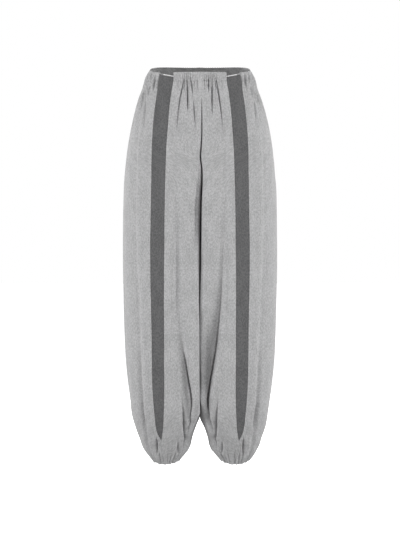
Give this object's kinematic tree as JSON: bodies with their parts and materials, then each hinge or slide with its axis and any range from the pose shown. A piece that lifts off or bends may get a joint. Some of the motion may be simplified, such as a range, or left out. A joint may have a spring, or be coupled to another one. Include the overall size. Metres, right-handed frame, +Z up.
{
  "type": "track pants filled out and hollow as worn, with no wearer",
  "caption": "Light grey jersey track pants with balloon legs, a gathered elastic waist, tucked elastic hems and a dark stripe down each leg.",
  "frame": {"origin": "the middle of the waist, level with the top edge of the waist at the centre front, where the wearer's waist holds the trousers up", "axes": "+Z up along the body, -Y to the front of the garment, +X to the wearer's left"},
  "size_m": [0.4066, 0.2668, 1.0539],
  "materials": {
    "light_jersey": "matt light heather-grey cotton jersey",
    "charcoal_jersey": "matt charcoal heather jersey",
    "white_cord": "white woven elastic cord"
  },
  "bodies": {
    "root": {"front_left": "light_jersey", "front_right": "light_jersey", "side_left": "light_jersey", "side_right": "light_jersey", "back_left": "light_jersey", "back_right": "light_jersey", "front_casing": "light_jersey", "side_casing_left": "light_jersey", "side_casing_right": "light_jersey", "hem_left": "light_jersey", "hem_right": "light_jersey", "stripe_left": "charcoal_jersey", "stripe_right": "charcoal_jersey", "back_waistband": "charcoal_jersey", "waist_cord_left": "white_cord", "waist_cord_right": "white_cord"}
  },
  "joints": []
}
